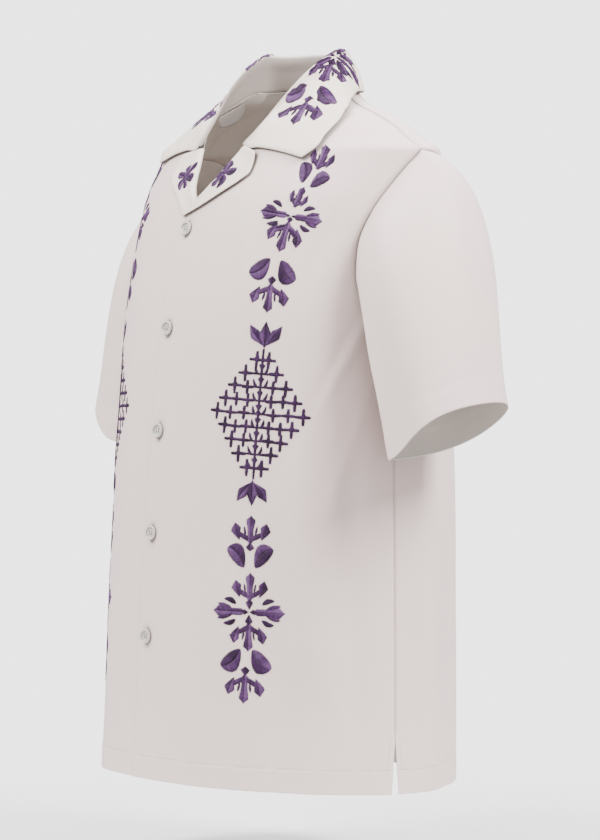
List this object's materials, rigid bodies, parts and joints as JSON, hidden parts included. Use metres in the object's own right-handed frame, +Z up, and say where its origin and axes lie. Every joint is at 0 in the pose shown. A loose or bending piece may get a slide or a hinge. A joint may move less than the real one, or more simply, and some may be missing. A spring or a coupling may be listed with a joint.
{
  "type": "embroidered camp-collar shirt, worn form",
  "caption": "Short-sleeved cream camp-collar shirt with bands of purple folk embroidery, filled out as worn.",
  "frame": {"origin": "between the inner ends of the two shoulder seams, at the base of the neck, where the wearer carries the shirt", "axes": "+Z up along the wearer, the front faces -Y, +X towards the wearer's left"},
  "size_m": [0.6814, 0.327, 0.7482],
  "materials": {
    "cloth": "soft satin, off-white",
    "embroidery": "satin-stitch thread, purple",
    "thread": "sewing thread, off-white",
    "buttons": "glossy, pearly off-white"
  },
  "bodies": {
    "root": {"front_left": "cloth", "front_right": "cloth", "back": "cloth", "sleeve_left": "cloth", "sleeve_right": "cloth", "collar": "cloth", "lapel_left": "cloth", "lapel_right": "cloth", "neck_tab": "cloth", "button_1": "buttons", "button_2": "buttons", "button_3": "buttons", "button_4": "buttons", "button_5": "buttons"}
  },
  "joints": []
}
